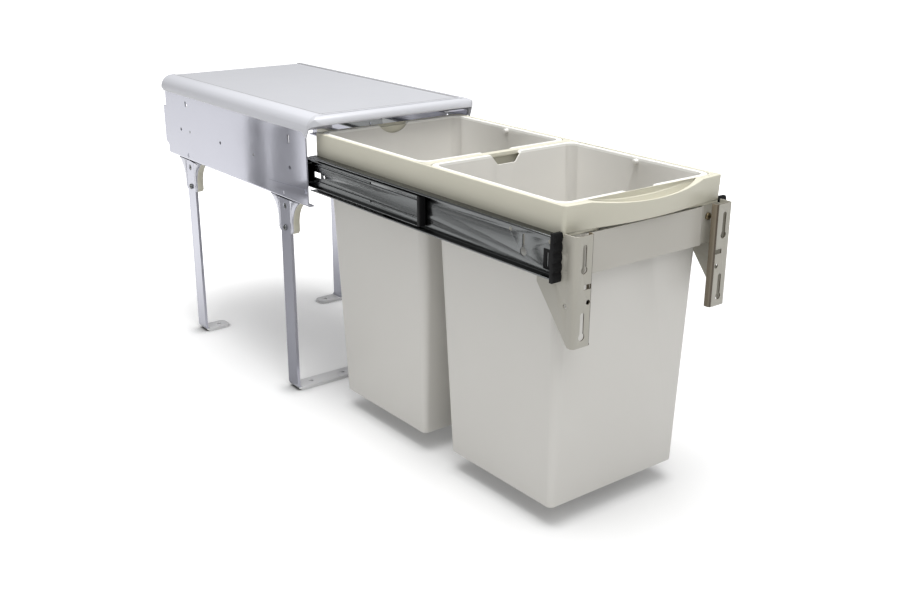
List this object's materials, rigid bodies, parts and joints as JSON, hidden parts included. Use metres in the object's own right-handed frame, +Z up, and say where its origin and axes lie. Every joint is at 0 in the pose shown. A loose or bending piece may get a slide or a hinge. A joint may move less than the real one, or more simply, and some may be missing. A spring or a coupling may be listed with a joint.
{
  "type": "pull-out waste bin",
  "caption": "Under-counter pull-out waste bin: steel casing on legs, full-extension slides, a carriage and hanging buckets.",
  "frame": {"origin": "on the floor, at the centre of the rectangle of four floor screws under the casing's feet", "axes": "+X to the right seen from the door, +Y from the door towards the back of the unit, +Z up"},
  "size_m": [0.2632, 0.9045, 0.394],
  "materials": {
    "casing_paint": "gloss powder coat, cool light grey",
    "lid_paint": "gloss powder coat, white",
    "zinc_steel": "bright zinc plate, slightly dulled",
    "frame_paint": "satin powder coat, warm light grey",
    "screw_steel": "zinc plated",
    "ivory_plastic": "satin polypropylene, ivory",
    "bucket_plastic": "satin polypropylene, warm light grey",
    "black_plastic": "satin, moulded"
  },
  "bodies": {
    "casing": {"left_side_plate": "casing_paint", "right_side_plate": "casing_paint", "lid": "lid_paint", "front_stirrup": "casing_paint", "left_rear_leg": "casing_paint", "right_rear_leg": "casing_paint", "left_front_gusset": "ivory_plastic", "right_front_gusset": "ivory_plastic", "left_rear_gusset": "ivory_plastic", "right_rear_gusset": "ivory_plastic", "leg_screws": "screw_steel", "countersunk_screws": "screw_steel", "left_casing_slide": "zinc_steel", "right_casing_slide": "zinc_steel", "slide_rivets": "zinc_steel"},
    "carriage": {"left_channel": "zinc_steel", "right_channel": "zinc_steel", "left_end_cap": "black_plastic", "right_end_cap": "black_plastic", "left_side_rail": "frame_paint", "right_side_rail": "frame_paint", "front_rail": "frame_paint", "rear_rail": "frame_paint", "left_door_bracket": "frame_paint", "right_door_bracket": "frame_paint", "surround": "ivory_plastic", "surround_screws": "screw_steel", "channel_rivets": "frame_paint", "rail_rivets": "frame_paint"},
    "left_intermediate": {"left_intermediate": "zinc_steel", "left_bumper": "black_plastic"},
    "left_outer_cage": {"left_outer_cage": "zinc_steel", "left_outer_balls": "screw_steel"},
    "left_inner_cage": {"left_inner_cage": "zinc_steel", "left_inner_balls": "screw_steel"},
    "right_intermediate": {"right_intermediate": "zinc_steel", "right_bumper": "black_plastic"},
    "right_outer_cage": {"right_outer_cage": "zinc_steel", "right_outer_balls": "screw_steel"},
    "right_inner_cage": {"right_inner_cage": "zinc_steel", "right_inner_balls": "screw_steel"},
    "front_bucket": {"front_bucket": "bucket_plastic"},
    "rear_bucket": {"rear_bucket": "bucket_plastic"}
  },
  "joints": [
    {"name": "carriage_slide", "type": "slide", "parent": "casing", "child": "carriage", "axis": [0, 1, 0], "range_m": [0, 0.43]},
    {"name": "left_intermediate_slide", "type": "slide", "parent": "casing", "child": "left_intermediate", "axis": [0, 1, 0], "range_m": [0, 0.215]},
    {"name": "left_outer_cage_slide", "type": "slide", "parent": "casing", "child": "left_outer_cage", "axis": [0, 1, 0], "range_m": [0, 0.3225]},
    {"name": "left_inner_cage_slide", "type": "slide", "parent": "casing", "child": "left_inner_cage", "axis": [0, 1, 0], "range_m": [0, 0.1075]},
    {"name": "right_intermediate_slide", "type": "slide", "parent": "casing", "child": "right_intermediate", "axis": [0, 1, 0], "range_m": [0, 0.215]},
    {"name": "right_outer_cage_slide", "type": "slide", "parent": "casing", "child": "right_outer_cage", "axis": [0, 1, 0], "range_m": [0, 0.3225]},
    {"name": "right_inner_cage_slide", "type": "slide", "parent": "casing", "child": "right_inner_cage", "axis": [0, 1, 0], "range_m": [0, 0.1075]},
    {"name": "front_bucket_lift", "type": "slide", "parent": "carriage", "child": "front_bucket", "axis": [0, 0, 1], "range_m": [0, 0.003]},
    {"name": "rear_bucket_lift", "type": "slide", "parent": "carriage", "child": "rear_bucket", "axis": [0, 0, 1], "range_m": [0, 0.003]}
  ],
  "couplings": [
    {"joint": "left_intermediate_slide", "follows": "carriage_slide", "ratio": 0.5},
    {"joint": "left_outer_cage_slide", "follows": "carriage_slide", "ratio": 0.75},
    {"joint": "left_inner_cage_slide", "follows": "carriage_slide", "ratio": 0.25},
    {"joint": "right_intermediate_slide", "follows": "carriage_slide", "ratio": 0.5},
    {"joint": "right_outer_cage_slide", "follows": "carriage_slide", "ratio": 0.75},
    {"joint": "right_inner_cage_slide", "follows": "carriage_slide", "ratio": 0.25}
  ]
}
